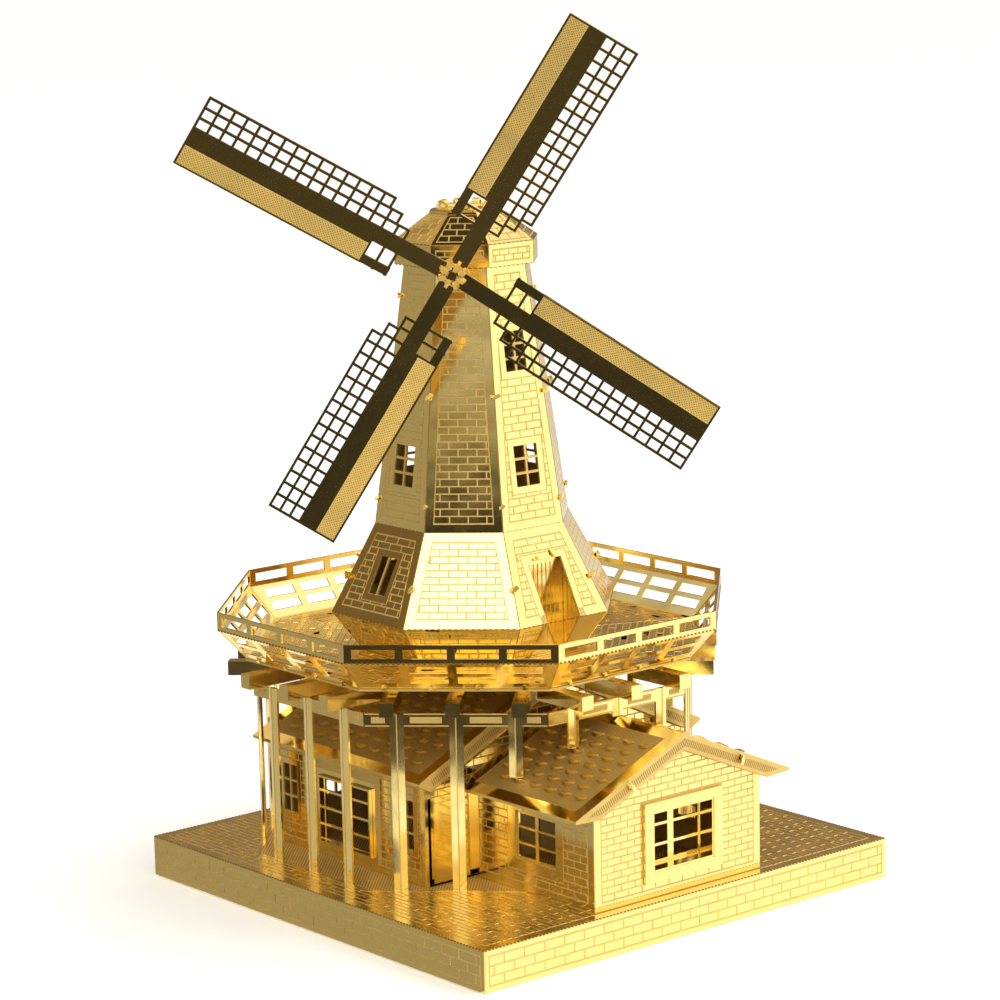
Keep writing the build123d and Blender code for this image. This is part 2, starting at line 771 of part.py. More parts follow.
# Sails: four identical sheets, each a spar with an open lattice on one side and a panel on the other.
for number in range(blade_count):
    turn = math.radians(first_blade_angle - 90 * number)
    across_up = shaft_plane(0).y_dir
    along_flat = side_dir * math.cos(turn) + across_up * math.sin(turn)
    lean = math.radians(blade_lean)
    along = along_flat * math.cos(lean) + shaft_axis * math.sin(lean)
    face = shaft_axis * math.cos(lean) - along_flat * math.sin(lean)
    blade_plane = Plane(origin=hub_point + shaft_axis * 0.32, x_dir=along, z_dir=face)
    with BuildPart() as blade:
        with BuildSketch(blade_plane):
            spar_middle = (spar_panel_edge - spar_lattice_edge) / 2
            with Locations(((panel_inner + blade_length) / 2, spar_middle)):
                Rectangle(blade_length - panel_inner, spar_panel_edge + spar_lattice_edge)
            with Locations(((blade_root + panel_inner) / 2, 0)):
                Rectangle(panel_inner - blade_root + 0.2, 2 * spar_lattice_edge)
            with Locations(((panel_inner + blade_length) / 2, (spar_panel_edge + panel_side) / 2)):
                Rectangle(blade_length - panel_inner, panel_side - spar_panel_edge + 0.1)
            strip_middle = panel_side - edge_strip / 2
            with Locations(((open_cell_inner + panel_inner) / 2, strip_middle)):
                Rectangle(panel_inner - open_cell_inner + 0.2, edge_strip)
            for step in range(2):
                bar_at = open_cell_inner + cell_bar / 2 + step * cell_along
                with Locations((bar_at, (spar_lattice_edge + panel_side) / 2)):
                    Rectangle(cell_bar, panel_side - spar_lattice_edge + 0.2)
            for row, cells in enumerate(row_cells):
                row_outer = -lattice_side + row * cell_across
                row_start = blade_length - cells * cell_along
                with Locations(((row_start + blade_length) / 2, row_outer + cell_bar / 2)):
                    Rectangle(blade_length - row_start, cell_bar)
                for cell in range(cells + 1):
                    bar_at = blade_length - cell_bar / 2 - cell * cell_along
                    bar_at = max(bar_at, row_start + cell_bar / 2)
                    with Locations((bar_at, row_outer + cell_across / 2 + 0.1)):
                        Rectangle(cell_bar, cell_across + 0.2)
        extrude(amount=sheet)
    save(blade.part, "sail_blade_" + str(number + 1))

# Hub: a back plate, a front plate and bent tabs holding the four blade roots.
with BuildPart() as sail_hub:
    with BuildSketch(shaft_plane(0)):
        RegularPolygon(2.3, 8)
        Circle(shaft_radius, mode=Mode.SUBTRACT)
    extrude(amount=0.3)
    with BuildSketch(shaft_plane(0.3)):
        Circle(1.45)
        Circle(shaft_radius, mode=Mode.SUBTRACT)
    extrude(amount=0.9)
    for tab in range(8):
        with BuildSketch(shaft_plane(0.9)):
            with PolarLocations(1.35, 1, start_angle=45 * tab + 13):
                Rectangle(0.9, 0.45)
        extrude(amount=0.75)
save(sail_hub.part, "sail_hub")

# Windshaft: a round pin from inside the cap to the hub.
shaft_back = -21.0
with BuildPart() as windshaft:
    with BuildSketch(shaft_plane(shaft_back)):
        Circle(shaft_radius)
    extrude(amount=-shaft_back + 1.35)
save(windshaft.part, "windshaft")

# Stop washer on the windshaft behind the cap band.
washer_back = -11.2
with BuildPart() as shaft_washer:
    with BuildSketch(shaft_plane(washer_back)):
        Circle(1.3)
        Circle(shaft_radius, mode=Mode.SUBTRACT)
    extrude(amount=0.4)
save(shaft_washer.part, "shaft_washer")

# Bearing strap from wall to wall inside the cap, carrying the back of the windshaft.
strap_along = -17.0
strap_width = 2 * (cap_radius * apothem_share - sheet - rest_gap)
with BuildPart() as shaft_bearing:
    with BuildSketch(shaft_plane(strap_along)):
        with Locations((0, -0.55)):
            Rectangle(strap_width, 2.0)
        Circle(1.4)
        Circle(shaft_radius + shaft_clearance, mode=Mode.SUBTRACT)
    extrude(amount=0.4)
save(shaft_bearing.part, "shaft_bearing")
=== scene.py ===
import bpy
import json
import math
import random
from mathutils import Matrix, Vector


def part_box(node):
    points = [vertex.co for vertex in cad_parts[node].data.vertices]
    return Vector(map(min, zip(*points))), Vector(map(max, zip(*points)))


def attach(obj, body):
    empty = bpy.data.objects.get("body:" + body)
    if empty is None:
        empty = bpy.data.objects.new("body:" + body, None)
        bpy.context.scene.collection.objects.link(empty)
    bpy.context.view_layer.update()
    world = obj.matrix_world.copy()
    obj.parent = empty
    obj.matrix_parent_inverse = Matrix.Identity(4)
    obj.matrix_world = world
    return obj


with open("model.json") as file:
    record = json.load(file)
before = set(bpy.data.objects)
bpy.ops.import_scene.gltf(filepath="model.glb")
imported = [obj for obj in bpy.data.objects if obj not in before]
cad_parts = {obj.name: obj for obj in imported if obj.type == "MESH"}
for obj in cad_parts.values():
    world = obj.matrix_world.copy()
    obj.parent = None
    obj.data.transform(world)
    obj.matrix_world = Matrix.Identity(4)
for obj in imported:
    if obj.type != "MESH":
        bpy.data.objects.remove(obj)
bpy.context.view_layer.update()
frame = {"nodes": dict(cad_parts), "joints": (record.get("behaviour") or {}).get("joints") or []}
random.seed(17)

MM = 0.001
UP = Vector((0, 0, 1))
SIDES = {"s": 225, "se": 270, "e": 315, "ne": 0, "n": 45, "nw": 90, "w": 135, "sw": 180}

joint = frame["joints"][0]
hub = Vector(joint["pos_m"]) / MM
shaft = Vector(joint["axis"]).normalized()

deck_low, deck_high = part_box("deck_plate")
axis_x = (deck_low.x + deck_high.x) / 2 / MM
axis_y = (deck_low.y + deck_high.y) / 2 / MM
deck_z = deck_high.z / MM
base_low, base_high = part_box("base_tray")
base_z = base_high.z / MM

# the plan is eight-sided
HALF_SIDE = math.radians(22.5)
# roof slopes, rise over run, and how far the walls stand from the tower axis
HOUSE_SLOPE = 0.474
HOUSE_HALF = 24.1
WING_SLOPE = 0.433
WING_HALF = 15.4
# corner radius of the pillar ring, and where its pillars and line work lie along each side
RING_RADIUS = 33.0
PILLARS = (-8.1, 0, 8.1)
PILLAR_RIDGE = 0.28
# sails: direction of the first one, step between them, and how far they lean forward
FIRST_SAIL = 58.0
SAIL_STEP = 90.0
SAIL_LEAN = 8.5


# ---------------------------------------------------------------- flat geometry helpers, in millimetres


def flat_groups(node):
    """Coplanar triangle groups of a CAD node: normal, area, and the corner triples."""
    groups = {}
    data = frame["nodes"][node].data
    for face in data.polygons:
        corners = [data.vertices[i].co / MM for i in face.vertices]
        normal = face.normal
        key = tuple(round(c * 50) for c in normal) + (round(normal.dot(corners[0]) * 10),)
        entry = groups.setdefault(key, {"normal": normal.copy(), "area": 0.0, "triangles": []})
        entry["area"] += face.area / MM / MM
        entry["triangles"].append(corners)
    return list(groups.values())


def outline_loops(triangles):
    """Closed boundary loops of a set of coplanar triangles."""
    def key(point):
        return tuple(round(c * 500) for c in point)

    count = {}
    place = {}
    for corners in triangles:
        keys = [key(p) for p in corners]
        for k, p in zip(keys, corners):
            place[k] = p
        for i in range(len(keys)):
            edge = (keys[i], keys[(i + 1) % len(keys)])
            count[edge] = count.get(edge, 0) + 1
    follow = {}
    for a, b in count:
        if (b, a) not in count and a != b:
            follow.setdefault(a, []).append(b)
    loops = []
    while follow:
        start = next(iter(follow))
        loop = [start]
        here = start
        while True:
            ahead = follow.get(here)
            if not ahead:
                break
            there = ahead.pop()
            if not ahead:
                del follow[here]
            if there == start:
                break
            loop.append(there)
            here = there
        if len(loop) > 2:
            loops.append([place[k] for k in loop])
    return loops


def hull(points):
    """Convex hull, counter-clockwise."""
    ordered = sorted(set((round(x, 3), round(y, 3)) for x, y in points))

    def half(run):
        line = []
        for p in run:
            while len(line) > 1:
                (ax, ay), (bx, by) = line[-2], line[-1]
                if (bx - ax) * (p[1] - ay) - (by - ay) * (p[0] - ax) > 1e-6:
                    break
                line.pop()
            line.append(p)
        return line[:-1]

    return half(ordered) + half(ordered[::-1])


def clip(polygon, keeper):
    """The part of a polygon inside a convex counter-clockwise keeper."""
    result = polygon
    for i in range(len(keeper)):
        ax, ay = keeper[i]
        bx, by = keeper[(i + 1) % len(keeper)]
        source = result
        result = []
        for j in range(len(source)):
            p = source[j]
            q = source[(j + 1) % len(source)]
            dp = (bx - ax) * (p[1] - ay) - (by - ay) * (p[0] - ax)
            dq = (bx - ax) * (q[1] - ay) - (by - ay) * (q[0] - ax)
            if dp >= 0:
                result.append(p)
            if (dp > 0 > dq) or (dp < 0 < dq):
                t = dp / (dp - dq)
                result.append((p[0] + (q[0] - p[0]) * t, p[1] + (q[1] - p[1]) * t))
        if len(result) < 3:
            return []
    return result


def polygon_area(polygon):
    total = 0.0
    for i in range(len(polygon)):
        ax, ay = polygon[i]
        bx, by = polygon[(i + 1) % len(polygon)]
        total += ax * by - bx * ay
    return total / 2


def inset(polygon, distance):
    """Convex counter-clockwise polygon moved in on every side."""
    lines = []
    for i in range(len(polygon)):
        ax, ay = polygon[i]
        bx, by = polygon[(i + 1) % len(polygon)]
        length = math.hypot(bx - ax, by - ay)
        nx, ny = -(by - ay) / length, (bx - ax) / length
        lines.append((nx, ny, nx * ax + ny * ay + distance))
    result = []
    for i in range(len(lines)):
        a, b, c = lines[i - 1]
        d, e, f = lines[i]
        det = a * e - b * d
        if abs(det) < 1e-6:
            result.append(polygon[i])
            continue
        result.append(((c * e - b * f) / det, (a * f - c * d) / det))
    return result


def rectangle(u0, v0, u1, v1):
    return [(u0, v0), (u1, v0), (u1, v1), (u0, v1)]


def subtract(rect, hole, gap):
    """What is left of a (u0, v0, u1, v1) rectangle round a hole."""
    u0, v0, u1, v1 = rect
    h0, g0, h1, g1 = hole[0] - gap, hole[1] - gap, hole[2] + gap, hole[3] + gap
    if u1 <= h0 or u0 >= h1 or v1 <= g0 or v0 >= g1:
        return [rect]
    parts = []
    if u0 < h0:
        parts.append((u0, v0, h0, v1))
    if u1 > h1:
        parts.append((h1, v0, u1, v1))
    middle_0, middle_1 = max(u0, h0), min(u1, h1)
    if v0 < g0:
        parts.append((middle_0, v0, middle_1, g0))
    if v1 > g1:
        parts.append((middle_0, g1, middle_1, v1))
    return [p for p in parts if p[2] - p[0] > 0.2 and p[3] - p[1] > 0.15]


class Panel:
    """One flat face of a CAD node, seen from outside, with u to the right and v up."""

    def __init__(self, node, direction, rank=0):
        want = Vector(direction).normalized()
        fits = [g for g in flat_groups(node) if g["normal"].dot(want) > 0.96]
        largest = max(g["area"] for g in fits)
        fits = [g for g in fits if g["area"] > 0.55 * largest]
        fits.sort(key=lambda g: -g["normal"].dot(g["triangles"][0][0]))
        group = fits[rank]
        self.n = group["normal"].normalized()
        if abs(self.n.z) > 0.99:
            self.v = Vector((0, 1, 0))
        else:
            self.v = (UP - self.n * self.n.z).normalized()
        self.u = self.v.cross(self.n).normalized()
        self.o = group["triangles"][0][0].copy()
        loops = [[self.flat(p) for p in loop] for loop in outline_loops(group["triangles"])]
        loops.sort(key=lambda loop: -abs(polygon_area(loop)))
        self.outline = hull(loops[0])
        self.holes = self.merge(loops[1:])

    def flat(self, point):
        away = point - self.o
        return (away.dot(self.u), away.dot(self.v))

    def point(self, u, v, w=0.0):
        return self.o + self.u * u + self.v * v + self.n * w

    def merge(self, loops, reach=0.7):
        """Bounding rectangles of the openings, with neighbouring panes taken together."""
        boxes = []
        for loop in loops:
            us = [p[0] for p in loop]
            vs = [p[1] for p in loop]
            boxes.append([min(us), min(vs), max(us), max(vs)])
        joined = True
        while joined:
            joined = False
            for i in range(len(boxes)):
                for j in range(i + 1, len(boxes)):
                    a, b = boxes[i], boxes[j]
                    apart = a[0] > b[2] + reach or b[0] > a[2] + reach
                    apart = apart or a[1] > b[3] + reach or b[1] > a[3] + reach
                    if not apart:
                        boxes[i] = [min(a[0], b[0]), min(a[1], b[1]), max(a[2], b[2]), max(a[3], b[3])]
                        del boxes[j]
                        joined = True
                        break
                if joined:
                    break
        return [tuple(b) for b in boxes]

    def hole_for(self, node):
        """The rectangle that another CAD node covers on this panel."""
        low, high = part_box(node)
        corners = []
        for x in (low.x, high.x):
            for y in (low.y, high.y):
                for z in (low.z, high.z):
                    corners.append(self.flat(Vector((x, y, z)) / MM))
        us = [c[0] for c in corners]
        vs = [c[1] for c in corners]
        return (min(us), min(vs), max(us), max(vs))


class FreePanel(Panel):
    """A given plane, such as the face of a leaning blade."""

    def __init__(self, origin, u, n, outline):
        self.o = Vector(origin)
        self.n = Vector(n).normalized()
        self.u = Vector(u).normalized()
        self.v = self.n.cross(self.u).normalized()
        self.outline = outline
        self.holes = []


class Relief:
    """Small raised pieces of one finish, gathered into one mesh."""

    def __init__(self):
        self.points = []
        self.faces = []

    def plate(self, panel, polygon, height=0.05, lift=0.0, taper=0.02, tilt=0.0):
        """A thin plate over a convex polygon of the panel."""
        if len(polygon) < 3 or abs(polygon_area(polygon)) < 0.01:
            return
        if polygon_area(polygon) < 0:
            polygon = polygon[::-1]
        count = len(polygon)
        cu = sum(p[0] for p in polygon) / count
        cv = sum(p[1] for p in polygon) / count
        lean_u = random.gauss(0, tilt) if tilt else 0.0
        lean_v = random.gauss(0, tilt) if tilt else 0.0
        start = len(self.points)
        for u, v in polygon:
            self.points.append(panel.point(u, v, lift))
        for u, v in polygon:
            away = math.hypot(u - cu, v - cv) or 1.0
            share = max(0.0, 1 - taper / away)
            tu, tv = cu + (u - cu) * share, cv + (v - cv) * share
            rise = lift + height + (tu - cu) * lean_u + (tv - cv) * lean_v
            self.points.append(panel.point(tu, tv, rise))
        self.faces.append(tuple(range(start + count, start + 2 * count)))
        self.faces.append(tuple(range(start + count - 1, start - 1, -1)))
        for i in range(count):
            j = (i + 1) % count
            self.faces.append((start + i, start + j, start + count + j, start + count + i))

    def wedge(self, panel, polygon, heights, lift=0.0):
        """A plate whose top height is given at each corner."""
        start = len(self.points)
        count = len(polygon)
        for u, v in polygon:
            self.points.append(panel.point(u, v, lift))
        for (u, v), rise in zip(polygon, heights):
            self.points.append(panel.point(u, v, lift + rise))
        self.faces.append(tuple(range(start + count, start + 2 * count)))
        self.faces.append(tuple(range(start + count - 1, start - 1, -1)))
        for i in range(count):
            j = (i + 1) % count
            self.faces.append((start + i, start + j, start + count + j, start + count + i))

    def stud(self, panel, u, v, radius, height, sides=6):
        """A low pointed dot."""
        start = len(self.points)
        for k in range(sides):
            a = 2 * math.pi * k / sides
            self.points.append(panel.point(u + radius * math.cos(a), v + radius * math.sin(a), 0))
        for k in range(sides):
            a = 2 * math.pi * k / sides
            r = radius * 0.55
            self.points.append(panel.point(u + r * math.cos(a), v + r * math.sin(a), height))
        self.faces.append(tuple(range(start + sides, start + 2 * sides)))
        for i in range(sides):
            j = (i + 1) % sides
            self.faces.append((start + i, start + j, start + sides + j, start + sides + i))

    def block(self, centre, along, across, up, half):
        """A small block between three directions, in millimetres."""
        start = len(self.points)
        for a in (-1, 1):
            for b in (-1, 1):
                for c in (-1, 1):
                    self.points.append(centre + along * half[0] * a + across * half[1] * b + up * half[2] * c)
        for face in ((0, 1, 3, 2), (4, 6, 7, 5), (0, 4, 5, 1), (2, 3, 7, 6), (0, 2, 6, 4), (1, 5, 7, 3)):
            self.faces.append(tuple(start + i for i in face))

    def build(self, name, body, material):
        if not self.faces:
            return None
        mesh = bpy.data.meshes.new(name)
        mesh.from_pydata([tuple(p * MM) for p in self.points], [], self.faces)
        mesh.update()
        mesh.materials.append(material)
        made = bpy.data.objects.new(name, mesh)
        bpy.context.scene.collection.objects.link(made)
        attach(made, body)
        return made


def outside_pieces(polygon, keeper):
    """The parts of a convex polygon outside a convex keeper, as convex polygons."""
    parts = []
    rest = polygon
    for i in range(len(keeper)):
        ax, ay = keeper[i]
        bx, by = keeper[(i + 1) % len(keeper)]
        out_part, in_part = [], []
        for j in range(len(rest)):
            p = rest[j]
            q = rest[(j + 1) % len(rest)]
            dp = (bx - ax) * (p[1] - ay) - (by - ay) * (p[0] - ax)
            dq = (bx - ax) * (q[1] - ay) - (by - ay) * (q[0] - ax)
            if dp >= 0:
                in_part.append(p)
            else:
                out_part.append(p)
            if (dp > 0 > dq) or (dp < 0 < dq):
                t = dp / (dp - dq)
                cut = (p[0] + (q[0] - p[0]) * t, p[1] + (q[1] - p[1]) * t)
                in_part.append(cut)
                out_part.append(cut)
        if len(out_part) > 2:
            parts.append(out_part)
        rest = in_part
        if len(rest) < 3:
            break
    return parts


# ---------------------------------------------------------------- patterns


def border(relief, panel, polygon, width, height=0.05, edge=0.03, cut=None):
    """A plain band just inside a convex outline, left out where the cut rectangle is."""
    outer = inset(polygon, edge)
    inner = inset(polygon, width)
    for i in range(len(polygon)):
        j = (i + 1) % len(polygon)
        parts = [[outer[i], outer[j], inner[j], inner[i]]]
        if cut:
            parts = outside_pieces(parts[0], rectangle(*cut))
        for part in parts:
            relief.plate(panel, part, height, taper=0.0)


def surround(relief, panel, hole, width, height=0.05):
    """A plain band round an opening."""
    u0, v0, u1, v1 = hole
    w = width
    for part in (
        rectangle(u0 - w, v0 - w, u1 + w, v0 - 0.02),
        rectangle(u0 - w, v1 + 0.02, u1 + w, v1 + w),
        rectangle(u0 - w, v0, u0 - 0.02, v1),
        rectangle(u1 + 0.02, v0, u1 + w, v1),
    ):
        part = clip(part, inset(panel.outline, 0.03))
        relief.plate(panel, part, height, taper=0.0)


def bricks(relief, panel, outline, holes, pitch, length,
           joint_width=0.18, height=0.05, gap=0.13, turn=False, tilt=0.002):
    """Courses of raised plates that fill a convex outline and leave the holes free."""
    if turn:
        outline_t = [(v, -u) for u, v in outline]
    else:
        outline_t = outline
    us = [p[0] for p in outline_t]
    vs = [p[1] for p in outline_t]
    low_u, high_u, low_v, high_v = min(us), max(us), min(vs), max(vs)
    rows = max(1, round((high_v - low_v) / pitch))
    step = (high_v - low_v) / rows
    middle = (low_u + high_u) / 2
    reach = int((high_u - low_u) / length / 2) + 2
    for row in range(rows):
        v0 = low_v + row * step + joint_width / 2
        v1 = low_v + (row + 1) * step - joint_width / 2
        shift = 0.5 * (row % 2) + 0.25
        for k in range(-reach, reach + 1):
            u0 = middle + (k + shift) * length + joint_width / 2
            u1 = u0 + length - joint_width
            if u1 < low_u or u0 > high_u:
                continue
            parts = [(u0, v0, u1, v1)]
            for hole in holes:
                if turn:
                    hole = (hole[1], -hole[2], hole[3], -hole[0])
                parts = [q for p in parts for q in subtract(p, hole, gap)]
            for part in parts:
                shape = clip(rectangle(*part), outline_t)
                if turn:
                    shape = [(-v, u) for u, v in shape]
                if len(shape) > 2 and abs(polygon_area(shape)) > 0.12:
                    relief.plate(panel, shape, height, tilt=tilt)


def stitches(relief, start, end, normal, pitch=0.78, length=0.42, width=0.14, height=0.06):
    """The row of short slits along a fold line."""
    run = end - start
    along = run.normalized()
    across = along.cross(normal).normalized()
    count = int(run.length / pitch)
    for k in range(count):
        centre = start + along * ((k + 0.5) * run.length / count)
        relief.block(centre, along, across, normal, (length / 2, width / 2, height))


def tab(relief, place, along, normal, turn=0.5, size=1.0):
    """A folded locking tab: a twisted tongue standing out of the sheet, with its two shoulders."""
    across = along.cross(normal).normalized()
    twisted = (along * math.cos(turn) + across * math.sin(turn)).normalized()
    side = normal.cross(twisted).normalized()
    relief.block(place + normal * 0.32 * size, twisted, side, normal, (0.55 * size, 0.15, 0.34 * size))
    head = place + normal * 0.6 * size + twisted * 0.25 * size
    relief.block(head, twisted, side, normal, (0.42 * size, 0.26, 0.12))
    relief.block(place + normal * 0.08 - twisted * 0.2, along, across, normal, (0.3 * size, 0.42 * size, 0.1))


def hatch(relief, panel, outline, pitch=0.46, width=0.26, height=0.07, slope=1.0):
    """Fine raised diagonal lines over a convex outline."""
    us = [p[0] for p in outline]
    vs = [p[1] for p in outline]
    low_v, high_v = min(vs), max(vs)
    drop = (high_v - low_v) * slope
    start = min(us) - abs(drop) - pitch
    end = max(us) + abs(drop) + pitch
    u = start
    while u < end:
        line = [(u, low_v), (u + width, low_v), (u + width + drop, high_v), (u + drop, high_v)]
        relief.plate(panel, clip(line, outline), height, taper=0.0, tilt=0.0)
        u += pitch


def dots(relief, panel, outline, holes=(), pitch=0.46, radius=0.15, height=0.05):
    """A fine diagonal grid of raised dots."""
    us = [p[0] for p in outline]
    vs = [p[1] for p in outline]
    row = 0
    v = min(vs) + pitch / 2
    while v < max(vs):
        u = min(us) + pitch * (0.5 if row % 2 else 1.0)
        while u < max(us):
            inside = all(
                (bx - ax) * (v - ay) - (by - ay) * (u - ax) > 0.1
                for (ax, ay), (bx, by) in zip(outline, outline[1:] + outline[:1])
            )
            free = all(not (h[0] < u < h[2] and h[1] < v < h[3]) for h in holes)
            if inside and free:
                relief.stud(panel, u, v, radius, height, sides=4)
            u += pitch
        v += pitch / 2
        row += 1


# ---------------------------------------------------------------- metals


def metal(name, colour, rough, rough_spread, wave, wave_size, grain, grain_size, tint=0.0):
    """Plated brass: long soft waves of the sheet, a fine grain, and a finish that varies."""
    made = bpy.data.materials.new(name)
    made.use_nodes = True
    nodes = made.node_tree.nodes
    links = made.node_tree.links
    shader = nodes["Principled BSDF"]
    shader.inputs["Metallic"].default_value = 1.0
    place = nodes.new("ShaderNodeTexCoord")

    soft = nodes.new("ShaderNodeTexNoise")
    soft.inputs["Scale"].default_value = 1.0 / wave_size
    soft.inputs["Detail"].default_value = 2.0
    fine = nodes.new("ShaderNodeTexNoise")
    fine.inputs["Scale"].default_value = 1.0 / grain_size
    fine.inputs["Detail"].default_value = 5.0
    fine.inputs["Roughness"].default_value = 0.65
    wear = nodes.new("ShaderNodeTexNoise")
    wear.inputs["Scale"].default_value = 240.0
    wear.inputs["Detail"].default_value = 4.0
    for texture in (soft, fine, wear):
        links.new(place.outputs["Object"], texture.inputs["Vector"])

    spread = nodes.new("ShaderNodeMapRange")
    spread.inputs["From Min"].default_value = 0.3
    spread.inputs["From Max"].default_value = 0.7
    spread.inputs["To Min"].default_value = rough - rough_spread
    spread.inputs["To Max"].default_value = rough + rough_spread
    links.new(wear.outputs["Fac"], spread.inputs["Value"])
    links.new(spread.outputs["Result"], shader.inputs["Roughness"])

    blend = nodes.new("ShaderNodeMix")
    blend.data_type = "RGBA"
    blend.inputs["A"].default_value = (*colour, 1)
    red, green, blue = colour
    blend.inputs["B"].default_value = (red * (1 - tint), green * (1 - 1.6 * tint), blue * (1 - 2.4 * tint), 1)
    links.new(wear.outputs["Fac"], blend.inputs["Factor"])
    links.new(blend.outputs["Result"], shader.inputs["Base Color"])

    bend = nodes.new("ShaderNodeBump")
    bend.inputs["Strength"].default_value = 1.0
    bend.inputs["Distance"].default_value = wave
    links.new(soft.outputs["Fac"], bend.inputs["Height"])
    etch = nodes.new("ShaderNodeBump")
    etch.inputs["Strength"].default_value = 1.0
    etch.inputs["Distance"].default_value = grain
    links.new(fine.outputs["Fac"], etch.inputs["Height"])
    links.new(bend.outputs["Normal"], etch.inputs["Normal"])
    links.new(etch.outputs["Normal"], shader.inputs["Normal"])
    return made


GOLD = (1.0, 0.79, 0.31)
polished = metal("gold_polished", GOLD, 0.12, 0.04, 0.00016, 0.012, 0.000002, 0.0004, 0.05)
satin = metal("gold_satin", (1.0, 0.76, 0.27), 0.24, 0.06, 0.00014, 0.010, 0.000005, 0.0003, 0.07)
etched = metal("gold_etched", (0.80, 0.61, 0.23), 0.64, 0.08, 0.00010, 0.010, 0.000020, 0.00022, 0.08)
halftone = metal("gold_halftone", (1.0, 0.75, 0.26), 0.58, 0.07, 0.00008, 0.010, 0.000016, 0.00025, 0.06)
# dark finish for the fold-line slits: painted shade standing in for the openings
slit_shade = metal("gold_slit_shade", (0.30, 0.17, 0.05), 0.5, 0.1, 0.00005, 0.010, 0.00001, 0.0003, 0.1)
# dark finish for the hatch lines; it also paints the shade under the roof tile ends
engraved_and_shade = metal("gold_engraved_and_shade", (0.46, 0.31, 0.10), 0.5, 0.1, 0.00005, 0.010, 0.00001, 0.0003, 0.1)

finish_of = {}
for node in frame["nodes"]:
    finish_of[node] = polished
for node in ("base_tray", "cap_band", "cap_roof", "deck_plate", "house_walls_sw", "house_walls_ne",
             "wing_walls", "house_roof", "wing_roof"):
    finish_of[node] = etched
for side in SIDES:
    finish_of["tower_facet_" + side] = etched
finish_of["sail_hub"] = halftone
finish_of["cap_crest"] = satin
for node, obj in frame["nodes"].items():
    obj.data.materials.clear()
    obj.data.materials.append(finish_of[node])


# ---------------------------------------------------------------- tower

BRICK = 1.03
LONG = 2.62


def outward(angle, tilt=0.0):
    a, t = math.radians(angle), math.radians(tilt)
    return Vector((math.cos(a) * math.cos(t), math.sin(a) * math.cos(t), math.sin(t)))



def door_head(panel):
    """How far up the panel the doorway reaches."""
    top_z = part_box("tower_door")[1].z / MM
    return (top_z - panel.o.z) / panel.v.z


# fold-line slits, drawn as small blocks that take the dark finish of painted shade
slits = Relief()
for side, angle in SIDES.items():
    node = "tower_facet_" + side
    plates = Relief()
    upper = Panel(node, outward(angle, 7.6))
    flare = Panel(node, outward(angle, 27))
    foot = Panel(node, outward(angle, -34.7))
    for panel, rim in ((upper, 1.15), (flare, 1.3), (foot, 0.75)):
        holes = list(panel.holes)
        cut = None
        if side == "se" and panel is not upper:
            door = panel.hole_for("tower_door")
            head = door_head(panel)
            cut = (door[0] + 0.3, -60.0, door[2] - 0.3, head)
            holes = [cut]
        border(plates, panel, panel.outline, rim, cut=cut)
        for hole in holes:
            surround(plates, panel, hole, 0.95)
        field = inset(panel.outline, rim + 0.13)
        grown = [(h[0] - 0.95, h[1] - 0.95, h[2] + 0.95, h[3] + 0.95) for h in holes]
        bricks(plates, panel, field, grown, BRICK, LONG)
    plates.build("bricks_tower_" + side, "mill", polished)
    for panel in (upper, flare):
        low = sorted(panel.outline, key=lambda p: p[1])[:2]
        low.sort()
        a = panel.point(low[0][0] + 0.4, low[0][1])
        b = panel.point(low[1][0] - 0.4, low[1][1])
        stitches(slits, a, b, outward(angle, 5))

tabs = Relief()
for side, angle in SIDES.items():
    corner = math.radians(angle + 22.5)
    radial = Vector((math.cos(corner), math.sin(corner), 0))
    for height, radius in ((71.2, 11.72), (45.2, 18.42), (56.0, 13.9), (84.5, 9.75)):
        place = Vector((axis_x, axis_y, height)) + radial * radius
        size = 1.0 if height in (71.2, 45.2) else 0.62
        tab(tabs, place, UP, radial, 0.9 + 0.3 * math.sin(angle + height), size)
door_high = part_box("tower_door")[1]
above_door = Vector((axis_x, axis_y - 16.75, door_high.z / MM + 1.0))
tab(tabs, above_door, Vector((1, 0, 0)), outward(270, 27), 1.2)

# ---------------------------------------------------------------- cap

for side, angle in SIDES.items():
    plates = Relief()
    roof = Panel("cap_roof", outward(angle, 53))
    border(plates, roof, roof.outline, 0.5)
    bricks(plates, roof, inset(roof.outline, 0.62), [], 1.12, 2.05)
    band = Panel("cap_band", outward(angle))
    border(plates, band, band.outline, 0.62)
    bricks(plates, band, inset(band.outline, 0.78), [], 0.75, 1.65)
    plates.build("bricks_cap_" + side, "mill", polished)
    low = sorted(roof.outline, key=lambda p: p[1])[:2]
    low.sort()
    stitches(slits, roof.point(*low[0]), roof.point(*low[1]), outward(angle, 25))
    low = sorted(band.outline, key=lambda p: p[1])[:2]
    low.sort()
    stitches(slits, band.point(*low[0]), band.point(*low[1]), outward(angle, -20), length=0.3)

# ---------------------------------------------------------------- deck and railing

top = Panel("deck_plate", (0, 0, 1))
under = Panel("deck_plate", (0, 0, -1))
tower_reach = 16.0
deck_reach = (deck_high.x - deck_low.x) / 2 / MM
for side, angle in SIDES.items():
    planks = Relief()
    out = outward(angle)
    along = UP.cross(out)
    for face, n in ((top, UP), (under, -UP)):
        start = Vector((axis_x, axis_y, 0))
        start.z = face.o.z
        sector = FreePanel(start, along if n.z > 0 else -along, n, [])
        spread = math.tan(HALF_SIDE)
        inner, outer = tower_reach - 2.2, deck_reach - 0.25
        outline = [
            (-inner * spread, -inner), (-outer * spread, -outer),
            (outer * spread, -outer), (inner * spread, -inner),
        ]
        check = sector.point(0, -outer) - start
        if check.dot(out) < 0:
            outline = [(u, -v) for u, v in outline][::-1]
        if polygon_area(outline) < 0:
            outline = outline[::-1]
        bricks(planks, sector, inset(outline, 0.12), [], 0.98, 7.6, joint_width=0.2, height=0.05, tilt=0.012)
    planks.build("planks_deck_" + side, "mill", satin)

